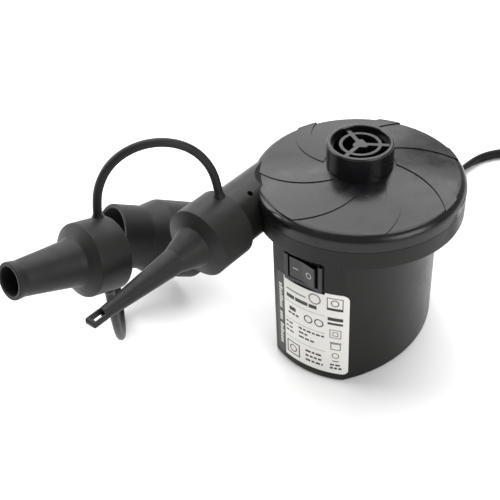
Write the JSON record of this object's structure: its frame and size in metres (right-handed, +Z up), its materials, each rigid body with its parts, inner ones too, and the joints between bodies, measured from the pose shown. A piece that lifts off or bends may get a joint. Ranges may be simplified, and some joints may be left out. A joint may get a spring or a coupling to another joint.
{
  "type": "electric air pump",
  "caption": "Mains electric air pump: round cover with a central inlet port over a barrel housing, a tangential outlet spout, and strapped push-on nozzles.",
  "frame": {"origin": "middle of the flat base, on the pump's vertical axis", "axes": "+Z up along the rotor's axis; -Y is the front with the rocker switch; the outlet spout leaves on the -X side towards -Y"},
  "size_m": [0.2345, 0.3679, 0.138],
  "materials": {
    "housing_plastic": "satin moulded",
    "cover_plastic": "semi-gloss moulded",
    "inner_plastic": "moulded",
    "zinc_steel": "zinc plated",
    "switch_plastic": "fine matte",
    "brass": "plain",
    "label_film": "printed film",
    "can_steel": "drawn and plated",
    "ferrite": "ground ceramic",
    "bronze": "sintered",
    "carbon": "pressed carbon",
    "board": "phenolic board",
    "diode_black": "moulded",
    "rubber_black": "plain",
    "wire_insulation": "plain",
    "cord_pvc": "satin",
    "tie_black": "plain",
    "pin_metal": "nickel plated",
    "ground_steel": "ground",
    "laminations": "stacked",
    "copper": "enamelled",
    "impeller_plastic": "moulded",
    "nozzle_pvc": "soft matte"
  },
  "bodies": {
    "pump": {"motor_housing": "housing_plastic", "top_cover": "cover_plastic", "inlet_grille": "cover_plastic", "outlet_spout": "housing_plastic", "volute_floor": "inner_plastic", "cover_screws": "zinc_steel", "motor_screws": "zinc_steel", "switch_frame": "switch_plastic", "switch_terminals": "brass", "rating_label": "label_film", "motor_can": "can_steel", "magnets": "ferrite", "motor_end_cap": "inner_plastic", "upper_bearing": "bronze", "lower_bearing": "bronze", "carbon_brushes": "carbon", "brush_arms": "brass", "rectifier_board": "board", "rectifier_diodes": "diode_black", "damper_ring": "rubber_black", "lead_wires": "wire_insulation", "strain_relief": "cord_pvc", "mains_cord": "cord_pvc", "cord_coil": "cord_pvc", "coil_tail": "cord_pvc", "coil_tie": "tie_black", "plug_body": "cord_pvc", "plug_pins": "pin_metal"},
    "rotor": {"shaft": "ground_steel", "armature_core": "laminations", "armature_windings": "copper", "commutator": "copper", "impeller": "impeller_plastic", "impeller_bush": "brass"},
    "rocker": {"rocker": "switch_plastic"},
    "narrow_nozzle": {"nozzle_narrow": "nozzle_pvc"},
    "medium_nozzle": {"nozzle_medium": "nozzle_pvc", "strap_front": "nozzle_pvc"},
    "large_nozzle": {"nozzle_large": "nozzle_pvc", "strap_rear": "nozzle_pvc"}
  },
  "joints": [
    {"name": "rotor_spin", "type": "hinge", "parent": "pump", "child": "rotor", "pos_m": [0, 0, 0.05], "axis": [0, 0, 1], "continuous": true},
    {"name": "rocker_tilt", "type": "hinge", "parent": "pump", "child": "rocker", "pos_m": [0, -0.0448, 0.0666], "axis": [0, 0, 1], "range_deg": [0, 12]},
    {"name": "nozzle_pull", "type": "slide", "parent": "pump", "child": "narrow_nozzle", "axis": [-0.0234, -0.9997, 0], "range_m": [0, 0.03]},
    {"name": "front_strap_flex", "type": "hinge", "parent": "narrow_nozzle", "child": "medium_nozzle", "pos_m": [-0.03908, -0.05898, 0.102], "axis": [0, 0, 1], "range_deg": [-20, 4], "stiffness_Nm_per_rad": 0.05},
    {"name": "rear_strap_flex", "type": "hinge", "parent": "medium_nozzle", "child": "large_nozzle", "pos_m": [-0.06319, -0.11263, 0.06927], "axis": [0, 0, 1], "range_deg": [-15, 20], "stiffness_Nm_per_rad": 0.05}
  ]
}
